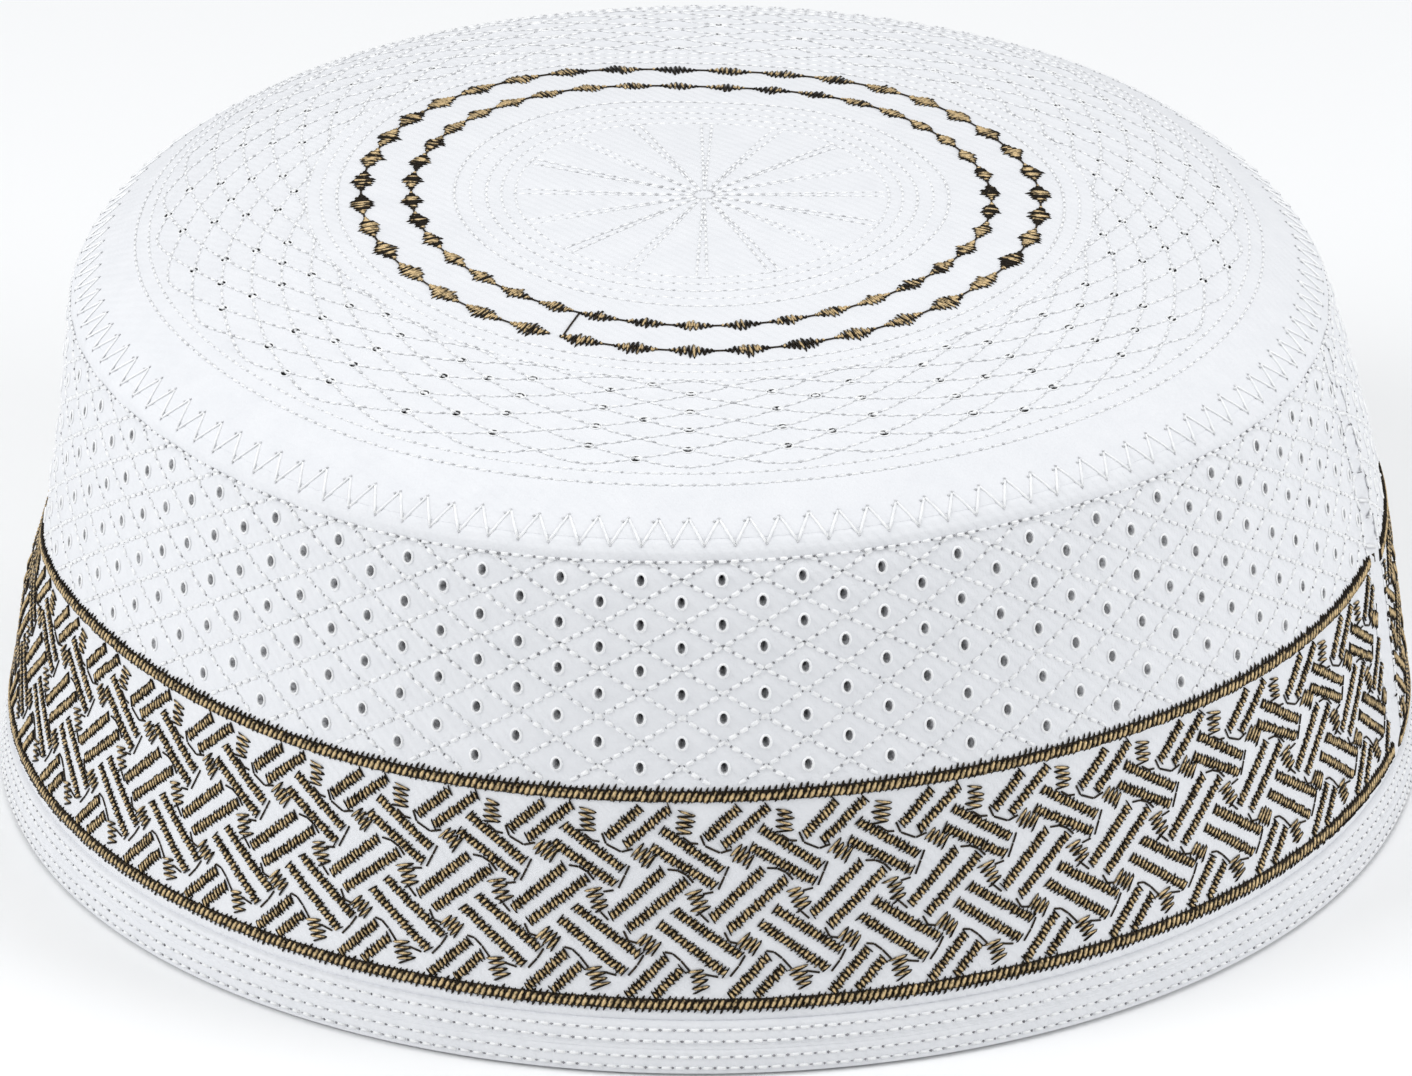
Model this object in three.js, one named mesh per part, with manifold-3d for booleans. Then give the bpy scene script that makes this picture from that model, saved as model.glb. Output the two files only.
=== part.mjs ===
// A kufi: a white quilted cap with a domed round crown pierced by needle eyelets, a tapered
// side strip, a folded hem and two raised satin-stitched border lines round the side.
// Millimetres, +Z up. The origin is the centre of the rim, on the surface the cap rests on.
// The front looks along -Y.
import * as THREE from 'three';
import { mergeVertices } from 'three/addons/utils/BufferGeometryUtils.js';
import Module from 'manifold-3d';

// Driving dimensions
const capHeight = 77.7; // rim to the middle of the crown
const rimRadius = 92.0; // outer radius of the hem where it rests
const seamRadius = 79.0; // outer radius of the crown panel, where the side strip meets it
const crownRise = 9.8; // how far the crown domes above its seam
const hemHeight = 7.2; // height of the folded hem
const crownCloth = 1.8; // quilted crown panel, through the cloth
const sideCloth = 1.8; // quilted side strip
const hemCloth = 2.6; // folded hem
const hemEdgeRound = 0.7; // rounding along the hem's two lower edges
const seamGap = 0.3; // space left between two pieces that are sewn edge to edge
const borderWidth = 2.4; // satin-stitched border line, up the side
const borderThickness = 0.7; // how far a border line stands off the cloth under it
const lowerBorderHeight = 9.2; // middle of the lower border line
const upperBorderHeight = 35.2; // middle of the upper border line
const stepsRound = 72; // straight steps round the cap
const eyeletDiameter = 1.3; // needle eyelet through the crown
const eyeletSides = 6; // flat sides of an eyelet
const eyeletsRound = 34; // eyelets in each ring, one in each lobe of the wavy quilting

const seamHeight = capHeight - crownRise;

const wasm = await Module();
wasm.setup();

// Outline of the side, from the rim up to the crown seam.
// up: share of the seam's height. inward: share of the taper from rim to seam.
const sideSections = [
  { up: 0.0, inward: 0.0 },
  { up: 0.06, inward: 0.03 },
  { up: 0.12, inward: 0.095 },
  { up: 0.31, inward: 0.27 },
  { up: 0.51, inward: 0.43 },
  { up: 0.73, inward: 0.595 },
  { up: 0.885, inward: 0.725 },
  { up: 0.95, inward: 0.81 },
  { up: 0.98, inward: 0.88 },
  { up: 1.0, inward: 1.0 },
];

// Outline of the crown, from its seam to its middle.
// out: share of the seam's radius. rise: share of the crown's rise.
const crownSections = [
  { out: 1.0, rise: 0.0 },
  { out: 0.97, rise: 0.13 },
  { out: 0.91, rise: 0.405 },
  { out: 0.835, rise: 0.59 },
  { out: 0.755, rise: 0.715 },
  { out: 0.54, rise: 0.9 },
  { out: 0.26, rise: 0.98 },
  { out: 0.0, rise: 1.0 },
];

// A border line's section, from its lower edge to its upper edge.
// across: share of its width from its middle. raised: share of its thickness.
const borderSection = [
  { across: -0.5, raised: 0.35 },
  { across: -0.3, raised: 0.85 },
  { across: 0.0, raised: 1.0 },
  { across: 0.3, raised: 0.85 },
  { across: 0.5, raised: 0.35 },
];

// Rings of eyelets in the crown.
// out: share of the seam's radius. phase: share of one eyelet's spacing, from +X.
const eyeletRings = [
  { out: 0.843, phase: 0.31 },
  { out: 0.792, phase: 0.31 },
  { out: 0.741, phase: 0.31 },
];

// How the soft cloth sits, at even steps round the cap, the first along +X.
// shoulder and waist: push outward at the shoulder and half way up, shares of the rim's radius.
// seam: lift of the crown seam. crown: lift of the crown's middle ground. Shares of the height.
const clothSettling = [
  { shoulder: -0.02, waist: 0.01, seam: 0.003, crown: 0.007 },
  { shoulder: -0.036, waist: 0.009, seam: 0.016, crown: -0.003 },
  { shoulder: 0.009, waist: 0.002, seam: 0.009, crown: -0.018 },
  { shoulder: 0.011, waist: 0.0, seam: 0.019, crown: -0.021 },
  { shoulder: 0.01, waist: -0.001, seam: 0.013, crown: 0.007 },
  { shoulder: -0.001, waist: -0.002, seam: 0.013, crown: 0.026 },
  { shoulder: -0.001, waist: 0.004, seam: 0.003, crown: 0.023 },
  { shoulder: -0.001, waist: -0.004, seam: 0.011, crown: 0.015 },
  { shoulder: 0.001, waist: 0.001, seam: 0.002, crown: 0.0 },
  { shoulder: -0.002, waist: -0.002, seam: 0.009, crown: -0.01 },
  { shoulder: -0.006, waist: 0.003, seam: 0.013, crown: -0.008 },
  { shoulder: -0.002, waist: 0.009, seam: 0.007, crown: 0.007 },
];

// Smooth value of one column of the settling table at an angle round the cap.
function settling(column, angle) {
  const count = clothSettling.length;
  const turn = (angle / (2 * Math.PI)) * count;
  const row = Math.floor(turn);
  const share = turn - row;
  const value = (step) => clothSettling[(((row + step) % count) + count) % count][column];
  const slopeHere = (value(1) - value(-1)) / 2;
  const slopeNext = (value(2) - value(0)) / 2;
  const square = share * share;
  const cube = square * share;
  return (
    (2 * cube - 3 * square + 1) * value(0) +
    (cube - 2 * square + share) * slopeHere +
    (3 * square - 2 * cube) * value(1) +
    (cube - square) * slopeNext
  );
}

const smooth = (share) => {
  const held = Math.min(1, Math.max(0, share));
  return held * held * (3 - 2 * held);
};

// Moves every vertex of a round piece to where the soft cloth settles.
function settle(geometry) {
  const position = geometry.getAttribute('position');
  for (let i = 0; i < position.count; i += 1) {
    const x = position.getX(i);
    const y = position.getY(i);
    const z = position.getZ(i);
    const radius = Math.hypot(x, y);
    const angle = Math.atan2(y, x);
    const upTheSide = smooth((z - hemHeight) / (seamHeight - hemHeight));
    const fromMiddle = Math.min(1, radius / seamRadius);
    const shoulderPush = settling('shoulder', angle) * upTheSide ** 2;
    const waistPush = settling('waist', angle) * 4 * upTheSide * (1 - upTheSide);
    const push = rimRadius * (shoulderPush + waistPush) * fromMiddle;
    const edgeLift = capHeight * settling('seam', angle) * upTheSide * fromMiddle ** 3;
    const domeShare = 6.75 * fromMiddle ** 2 * (1 - fromMiddle);
    const domeLift = capHeight * settling('crown', angle) * upTheSide * domeShare;
    const stretch = radius > 0 ? (radius + push) / radius : 1;
    position.setXYZ(i, x * stretch, y * stretch, z + edgeLift + domeLift);
  }
  return geometry;
}

// A closed outline of [radius, height] points turned round the cap's axis.
function turned(outline) {
  const points = outline.map(([radius, height]) => new THREE.Vector2(radius, height));
  const geometry = new THREE.LatheGeometry(points, stepsRound);
  return geometry.rotateX(Math.PI / 2);
}

// A closed geometry as a solid that can be cut, without its zero-area faces at the axis.
function solidOf(geometry) {
  const bare = new THREE.BufferGeometry();
  bare.setAttribute('position', geometry.getAttribute('position'));
  bare.setIndex(geometry.getIndex());
  const merged = mergeVertices(bare);
  const index = merged.getIndex().array;
  const faces = [];
  for (let i = 0; i < index.length; i += 3) {
    const [a, b, c] = [index[i], index[i + 1], index[i + 2]];
    if (a !== b && b !== c && c !== a) faces.push(a, b, c);
  }
  const vertProperties = new Float32Array(merged.getAttribute('position').array);
  const triVerts = new Uint32Array(faces);
  return new wasm.Manifold(new wasm.Mesh({ numProp: 3, vertProperties, triVerts }));
}

function geometryOf(solid) {
  const mesh = solid.getMesh();
  const geometry = new THREE.BufferGeometry();
  geometry.setAttribute('position', new THREE.BufferAttribute(mesh.vertProperties, mesh.numProp));
  geometry.setIndex(new THREE.BufferAttribute(mesh.triVerts, 1));
  geometry.computeVertexNormals();
  return geometry;
}

// The same line moved inward, into the cloth, by the cloth's thickness.
// before and after are the points that the line would run on through past its two ends.
function movedInward(line, distance, before = line[0], after = line[line.length - 1]) {
  return line.map(([radius, height], i) => {
    const [beforeRadius, beforeHeight] = line[i - 1] ?? before;
    const [afterRadius, afterHeight] = line[i + 1] ?? after;
    const alongRadius = afterRadius - beforeRadius;
    const alongHeight = afterHeight - beforeHeight;
    const length = Math.hypot(alongRadius, alongHeight);
    const inner = radius - (alongHeight / length) * distance;
    return [Math.max(0, inner), height + (alongRadius / length) * distance];
  });
}

// Outer radius of the side at a height, straight between the sections.
function sideRadius(height) {
  const up = height / seamHeight;
  const after = Math.max(1, sideSections.findIndex((section) => section.up >= up));
  const low = sideSections[after - 1];
  const high = sideSections[after];
  const share = (up - low.up) / (high.up - low.up);
  const inward = low.inward + share * (high.inward - low.inward);
  return rimRadius - inward * (rimRadius - seamRadius);
}

// Outer line of the side between two heights, rising.
function sideLine(fromHeight, toHeight) {
  const between = sideSections
    .map((section) => section.up * seamHeight)
    .filter((height) => height > fromHeight && height < toHeight);
  return [fromHeight, ...between, toHeight].map((height) => [sideRadius(height), height]);
}

// Outer line of the crown, from its seam to the cap's axis.
function crownLine() {
  return crownSections.map(({ out, rise }) => [out * seamRadius, seamHeight + rise * crownRise]);
}

// Draws the end of a line back by a distance.
function shortened(line, distance) {
  const [endRadius, endHeight] = line[line.length - 1];
  const [lastRadius, lastHeight] = line[line.length - 2];
  const share = distance / Math.hypot(endRadius - lastRadius, endHeight - lastHeight);
  const end = [endRadius + share * (lastRadius - endRadius), endHeight + share * (lastHeight - endHeight)];
  return [...line.slice(0, -1), end];
}

// Upright pins, one for each needle eyelet, long enough to pass through the crown.
function eyelets() {
  const length = 2 * (crownRise + crownCloth);
  const pins = [];
  for (const { out, phase } of eyeletRings) {
    for (let i = 0; i < eyeletsRound; i += 1) {
      const angle = ((i + phase) / eyeletsRound) * 2 * Math.PI;
      const pin = new THREE.CylinderGeometry(eyeletDiameter / 2, eyeletDiameter / 2, length, eyeletSides);
      pin.rotateX(Math.PI / 2);
      pin.rotateZ(angle);
      pin.translate(
        out * seamRadius * Math.cos(angle),
        out * seamRadius * Math.sin(angle),
        seamHeight + crownRise / 2,
      );
      pins.push(solidOf(pin));
    }
  }
  return pins;
}

function crown() {
  const line = crownLine();
  const under = movedInward(line, crownCloth, sideLine(0, seamHeight).at(-2)).reverse();
  under[0] = [0, capHeight - crownCloth];
  const panel = solidOf(turned([...under, ...line]));
  return geometryOf(eyelets().reduce((pierced, eyelet) => pierced.subtract(eyelet), panel));
}

// The side strip. Its lower end is cut level, its upper end in line with the crown's edge.
function sideWall() {
  const line = shortened(sideLine(hemHeight + seamGap, seamHeight), seamGap);
  const inner = movedInward(line, sideCloth, line[0], crownLine()[1]);
  inner[0][1] = line[0][1];
  return turned([...line, ...inner.reverse(), line[0]]);
}

function hem() {
  const corner = (radius, side) =>
    [0, 0.5, 1].map((share) => {
      const angle = (share * Math.PI) / 2;
      return [
        radius + side * hemEdgeRound * (Math.sin(angle) - 1),
        hemEdgeRound * (1 - Math.cos(angle)),
      ];
    });
  const outer = corner(rimRadius, 1);
  const inner = corner(rimRadius - hemCloth, -1).reverse();
  const top = sideRadius(hemHeight);
  const outline = [...outer, [top, hemHeight], [top - hemCloth, hemHeight], ...inner];
  return turned([...outline, outline[0]]);
}

// A satin-stitched line: flat on the cloth, rounded outside.
function borderLine(middleHeight) {
  const point = (across, raised) => {
    const height = middleHeight + across * borderWidth;
    return [sideRadius(height) + seamGap + raised * borderThickness, height];
  };
  const outer = borderSection.map(({ across, raised }) => point(across, raised));
  const outline = [...outer, point(borderSection.at(-1).across, 0), point(borderSection[0].across, 0)];
  return turned([...outline, outline[0]]);
}

const whiteCloth = () => new THREE.MeshStandardMaterial({ color: 0xf2f3f4, roughness: 0.86, metalness: 0 });
const goldThread = () => new THREE.MeshStandardMaterial({ color: 0x8a7045, roughness: 0.42, metalness: 0 });

const cap = new THREE.Group();

function add(name, geometry, material) {
  const mesh = new THREE.Mesh(settle(geometry), material);
  mesh.name = name;
  cap.add(mesh);
}

add('crown', crown(), whiteCloth());
add('side_wall', sideWall(), whiteCloth());
add('rim_hem', hem(), whiteCloth());
add('lower_border', borderLine(lowerBorderHeight), goldThread());
add('upper_border', borderLine(upperBorderHeight), goldThread());

export default cap;
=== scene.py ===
"""Looks of the kufi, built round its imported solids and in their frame.

Lengths are in millimetres until a mesh is made, and the camera and lights are in metres. A place on
the cloth is (along, angle): along is the length up the outside, from the rim over the shoulder to
the middle of the crown, and angle is in degrees from +X, with the front at -90.
"""

import math

import bpy
import numpy as np
from mathutils import Matrix, Vector


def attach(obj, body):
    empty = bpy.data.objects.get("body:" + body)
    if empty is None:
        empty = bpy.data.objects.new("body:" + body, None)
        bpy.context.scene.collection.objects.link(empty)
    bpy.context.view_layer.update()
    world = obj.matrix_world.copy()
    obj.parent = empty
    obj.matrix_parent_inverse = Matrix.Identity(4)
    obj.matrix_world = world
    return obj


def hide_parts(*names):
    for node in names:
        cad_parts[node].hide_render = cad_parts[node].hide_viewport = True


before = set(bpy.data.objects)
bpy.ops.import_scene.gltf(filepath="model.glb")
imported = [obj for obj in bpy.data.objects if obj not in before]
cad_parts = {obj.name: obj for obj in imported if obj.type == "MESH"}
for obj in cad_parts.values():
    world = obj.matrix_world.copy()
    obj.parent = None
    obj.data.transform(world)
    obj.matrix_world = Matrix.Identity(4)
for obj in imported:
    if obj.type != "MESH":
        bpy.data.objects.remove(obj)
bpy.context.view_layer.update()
MM = 0.001
chance = np.random.default_rng(11)

# The cap's own sizes, as in the part

cap_height = 77.7
rim_radius = 92.0
seam_radius = 79.0
crown_rise = 9.8
hem_height = 7.2
crown_cloth = 1.8
side_cloth = 1.8
hem_cloth = 2.6
seam_height = cap_height - crown_rise

side_sections = [
    {"up": 0, "inward": 0},
    {"up": 0.06, "inward": 0.03},
    {"up": 0.12, "inward": 0.095},
    {"up": 0.31, "inward": 0.27},
    {"up": 0.51, "inward": 0.43},
    {"up": 0.73, "inward": 0.595},
    {"up": 0.885, "inward": 0.725},
    {"up": 0.95, "inward": 0.81},
    {"up": 0.98, "inward": 0.88},
]
crown_sections = [
    {"out": 1, "rise": 0},
    {"out": 0.97, "rise": 0.13},
    {"out": 0.91, "rise": 0.405},
    {"out": 0.835, "rise": 0.59},
    {"out": 0.755, "rise": 0.715},
    {"out": 0.54, "rise": 0.9},
    {"out": 0.26, "rise": 0.98},
    {"out": 0, "rise": 1},
    {"out": -0.26, "rise": 0.98},
]
cloth_settling = [
    {"shoulder": -0.02, "waist": 0.01, "seam": 0.003, "crown": 0.007},
    {"shoulder": -0.036, "waist": 0.009, "seam": 0.016, "crown": -0.003},
    {"shoulder": 0.009, "waist": 0.002, "seam": 0.009, "crown": -0.018},
    {"shoulder": 0.011, "waist": 0, "seam": 0.019, "crown": -0.021},
    {"shoulder": 0.01, "waist": -0.001, "seam": 0.013, "crown": 0.007},
    {"shoulder": -0.001, "waist": -0.002, "seam": 0.013, "crown": 0.026},
    {"shoulder": -0.001, "waist": 0.004, "seam": 0.003, "crown": 0.023},
    {"shoulder": -0.001, "waist": -0.004, "seam": 0.011, "crown": 0.015},
    {"shoulder": 0.001, "waist": 0.001, "seam": 0.002, "crown": 0},
    {"shoulder": -0.002, "waist": -0.002, "seam": 0.009, "crown": -0.01},
    {"shoulder": -0.006, "waist": 0.003, "seam": 0.013, "crown": -0.008},
    {"shoulder": -0.002, "waist": 0.009, "seam": 0.007, "crown": 0.007},
]

# Where the sewing lies

seam_along = 69.7
crown_edge = 68.4
lower_seam_crease = 67.3
wall_top_row = 65.5
wall_foot_row = 36.9
upper_border_along = 35.85
lower_border_along = 9.35

wall_columns = 52
wall_first_angle = -88.8
wall_rows = 9
wall_first_row = 63.25
wall_row_step = 2.75
wall_row_growth = 0.028
wall_line_gap = 2.56

crown_lobes = 34
crown_first_angle = 3.33
crown_rows = 9
crown_first_row = 68.6
crown_row_step = 2.025
crown_line_gap = 1.9
crown_circles = [72.8, 71.0, 50.8, 48.9, 46.9, 31.9, 29.9, 27.8, 25.9, 24.1]
star_reach = 24.0
star_points = 16
star_first_angle = -91
star_spread = 1.66

seam_zigzags = 132
hem_rows = [6.06, 4.6, 2.56, 1.1]
hem_folds = [4.05, 3.5]
hem_top = 7.3
join_angle = -13.95

# The cloth sinks in a little at the left, between these two heights

hollow_depth = 2.4
hollow_angle = 178.0
hollow_spread = 8.0
hollow_foot = 22
hollow_top = 66


# The cloth's surface


def smooth(t):
    t = np.clip(t, 0, 1)
    return t * t * (3 - 2 * t)


def smooth_line(points, fine=0.04):
    """A smooth curve through the points, as its length so far, r and z at close steps."""
    points = np.array(points, float)
    chord = np.r_[0, np.cumsum(np.linalg.norm(np.diff(points, axis=0), axis=1))]
    slope = np.gradient(points, chord, axis=0)
    at = np.arange(0, chord[-1], fine)
    i = np.clip(np.searchsorted(chord, at, "right") - 1, 0, len(chord) - 2)
    span = (chord[i + 1] - chord[i])[:, None]
    t = (at[:, None] - chord[i][:, None]) / span
    line = (
        (1 + 2 * t) * (1 - t) ** 2 * points[i]
        + t * (1 - t) ** 2 * span * slope[i]
        + t * t * (3 - 2 * t) * points[i + 1]
        + t * t * (t - 1) * span * slope[i + 1]
    )
    line = line[: int(np.argmax(line[:, 0] < 0)) or None]
    so_far = np.r_[0, np.cumsum(np.linalg.norm(np.diff(line, axis=0), axis=1))]
    return so_far, np.maximum(line[:, 0], 0), line[:, 1]


outline_points = [
    (rim_radius - row["inward"] * (rim_radius - seam_radius), row["up"] * seam_height)
    for row in side_sections
] + [(row["out"] * seam_radius, seam_height + row["rise"] * crown_rise) for row in crown_sections]
line_along, line_r, line_z = smooth_line(outline_points)
middle_along = line_along[-1]


def along_at(radius):
    """How far along the outline the crown has this radius, before it settles."""
    crown_part = line_along > seam_along
    return np.interp(-np.asarray(radius, float), -line_r[crown_part], line_along[crown_part])


def radius_at(along):
    return np.interp(along, line_along, line_r)


def settled(column, angle):
    """A column of the settling table at an angle, as a smooth curve through its rows."""
    value = np.array([row[column] for row in cloth_settling], float)
    rows = len(value)
    at = np.mod(angle, 360) / 360 * rows
    i = np.floor(at).astype(int)
    t = at - i
    a, b, c, d = (value[(i + k) % rows] for k in (-1, 0, 1, 2))
    square_part = a - 2.5 * b + 2 * c - d / 2
    cube_part = 1.5 * (b - c) + (d - a) / 2
    return b + t * (c - a) / 2 + t**2 * square_part + t**3 * cube_part


def flare(along, angle):
    """The side strip's end lies over its start at the join, and stands off a little behind it."""
    behind = np.mod(angle - join_angle, 360)
    foot = smooth((along - hem_height) / 5) * smooth((66 - along) / 20)
    return np.exp(-behind / 13) * foot


def outer(along, angle):
    """The cloth's plain outer surface, settled as the part is, with the hollow at its left."""
    r = np.interp(along, line_along, line_r)
    z = np.interp(along, line_along, line_z)
    up = smooth((z - hem_height) / (seam_height - hem_height))
    from_middle = np.minimum(1, r / seam_radius)
    push = settled("shoulder", angle) * up**2 + settled("waist", angle) * 4 * up * (1 - up)
    edge_lift = settled("seam", angle) * up * from_middle**3
    dome_lift = settled("crown", angle) * up * 6.75 * from_middle**2 * (1 - from_middle)
    hollow = smooth((z - hollow_foot) / 12) * smooth((hollow_top - z) / 14)
    hollow = hollow * np.exp(-(((np.mod(angle, 360) - hollow_angle) / hollow_spread) ** 2))
    r = r + rim_radius * push * from_middle - hollow_depth * hollow
    z = z + cap_height * (edge_lift + dome_lift)
    turn = np.radians(angle)
    return np.stack([r * np.cos(turn), r * np.sin(turn), z], -1)


def normal(along, angle):
    """The way straight out of the surface. The small addition keeps it whole at the very middle."""
    up = outer(along + 0.5, angle) - outer(along - 0.5, angle)
    turn = np.radians(angle)
    side = outer(along, angle + 0.5) - outer(along, angle - 0.5)
    side = side + 1e-6 * np.stack([-np.sin(turn), np.cos(turn), 0 * turn], -1)
    out = np.cross(side, up)
    return out / np.linalg.norm(out, axis=-1, keepdims=True)


def groove(distance, width=0.5):
    return np.exp(-((distance / width) ** 2))


def wall_row(along):
    """The lattice row, counted downwards, at a height on the wall."""
    below = wall_first_row - along
    root = np.sqrt(np.maximum(wall_row_step**2 + 4 * wall_row_growth * below, 0.01))
    return (root - wall_row_step) / (2 * wall_row_growth)


def wall_along(row):
    return wall_first_row - wall_row_step * row - wall_row_growth * row**2


def relief(along, angle):
    """How far the cloth stands above its plain surface: the sewing draws it in along each row."""
    down = np.zeros(np.broadcast(along, angle).shape)
    u = (angle - wall_first_angle) / (180 / wall_columns)
    v = wall_row(along)
    inside = smooth((along - wall_foot_row) / 0.8) * (along < wall_top_row)
    for family in (u + v, u - v):
        off = np.abs(np.mod(family, 2) - 1) * wall_line_gap
        down = down + inside * 0.24 * groove(off, 0.75)
    down = down + 0.22 * groove(along - wall_top_row, 0.6)
    down = down + 0.2 * smooth((72.2 - along) / 2.0) * smooth((along - 66.8) / 2.0)
    down = down + 0.1 * groove(along - lower_seam_crease, 0.3)
    r = radius_at(along)
    on_crown = along > seam_along + 1
    u = (angle - crown_first_angle) / (180 / crown_lobes)
    v = (crown_first_row - r) / crown_row_step
    inside = on_crown & (v > -0.8) & (v < crown_rows - 0.2)
    for family in (u + v, u - v):
        off = np.minimum(np.mod(family, 2), 2 - np.mod(family, 2)) * crown_line_gap
        down = down + np.where(inside, 0.1 * groove(off, 0.6), 0)
    for circle in crown_circles:
        down = down + np.where(on_crown, 0.11 * groove(r - circle, 0.55), 0)
    step = 360 / star_points
    spoke = np.mod((angle - star_first_angle) + step / 2, step) - step / 2
    off = np.radians(np.abs(np.abs(spoke) - star_spread)) * r
    down = down + np.where(on_crown & (r < star_reach), 0.1 * groove(off), 0)
    for row in hem_rows:
        down = down + 0.24 * groove(along - row, 0.45)
    for fold in hem_folds:
        down = down + 0.25 * groove(along - fold, 0.22)
    return 0.25 * (along < hem_top) - down


def skin(along, angle, lift=0.0):
    along, angle = np.broadcast_arrays(np.asarray(along, float), np.asarray(angle, float))
    off = relief(along, angle) + flare(along, angle) + lift
    return outer(along, angle) + normal(along, angle) * off[..., None]


# Threads: the stations along one from 0 to 1, and how full it is at each

stitch_shape = {"at": (0, 0.16, 0.84, 1), "full": (0, 1, 1, 0)}
hole_shape = {"at": (0, 0.5, 1), "full": (0, 1, 0)}
gold_stroke_shape = {"at": (0, 0.2, 0.5, 0.8, 1), "full": (0, 0.85, 1, 0.85, 0)}
shadow_stroke_shape = {"at": (0, 0.16, 0.84, 1), "full": (0, 0.95, 0.95, 0)}
line_shape = {"at": (0, 0.05, 0.5, 0.95, 1), "full": (0, 1, 1, 1, 0)}
long_line_shape = {"at": (0, 0.06, 0.25, 0.5, 0.75, 0.94, 1), "full": (0, 0.9, 1, 1, 1, 0.9, 0)}

# Painted light on each point of a satin stroke: a painted highlight on the crest and painted shade
# at the sides and ends. The dark strokes between gold ones are painted shade all over.

gold_stroke_painted_light = [0.2, 0.65, 0.2, 0.05] + [0.5, 1.0, 0.5, 0.1] + [0.2, 0.65, 0.2, 0.05] + [0.0, 0.0]
shadow_stroke_painted_light = [0.05, 0.1, 0.05, 0.0] + [0.05, 0.1, 0.05, 0.0] + [0.0, 0.0]

join_clearance = 0.75
flat_sink = 0.02
hole_height = 0.24

# Meshes


def make_piece(
    name, points, faces, materials, slot=None, uv=None, sharp=None, which=None, painted_light=None
):
    """A mesh of triangles as a piece of the cap.

    The angle sharp is in degrees. The list which gives each face its material, and the last list
    holds the painted highlight and painted shade at each point of a thread."""
    mesh = bpy.data.meshes.new(name)
    mesh.vertices.add(len(points))
    mesh.vertices.foreach_set("co", (np.asarray(points) * MM).astype(np.float32).ravel())
    mesh.loops.add(len(faces) * 3)
    mesh.loops.foreach_set("vertex_index", np.asarray(faces, np.int32).ravel())
    mesh.polygons.add(len(faces))
    mesh.polygons.foreach_set("loop_start", np.arange(0, 3 * len(faces), 3, dtype=np.int32))
    mesh.update(calc_edges=True)
    mesh.validate()
    mesh.shade_smooth()
    if sharp:
        mesh.set_sharp_from_angle(angle=math.radians(sharp))
    if uv is not None:
        layer = mesh.uv_layers.new(name="cloth")
        layer.data.foreach_set("uv", np.asarray(uv, np.float32).ravel())
    for material in materials if isinstance(materials, list) else [materials]:
        mesh.materials.append(material)
    if painted_light is not None:
        painted_light_layer = mesh.attributes.new("painted_light", "FLOAT", "POINT")
        painted_light_layer.data.foreach_set("value", np.asarray(painted_light, np.float32))
    if which is not None:
        mesh.polygons.foreach_set("material_index", np.asarray(which, np.int32))
    piece = bpy.data.objects.new(name, mesh)
    bpy.context.scene.collection.objects.link(piece)
    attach(piece, "root")
    return piece


def squares(count, low, high):
    """The four corners of each square between two rings of as many points."""
    j = np.arange(count)
    after = (j + 1) % count
    return low + j, low + after, high + after, high + j


def narrowing(count, low, high):
    """Triangles from a ring of 2 * count points to one of count points."""
    j = np.arange(count)
    a = low + 2 * j
    b = low + 2 * j + 1
    c = low + (2 * j + 2) % (2 * count)
    d, e = high + j, high + (j + 1) % count
    return np.concatenate([np.stack([a, b, d], 1), np.stack([b, e, d], 1), np.stack([b, c, e], 1)])


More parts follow.
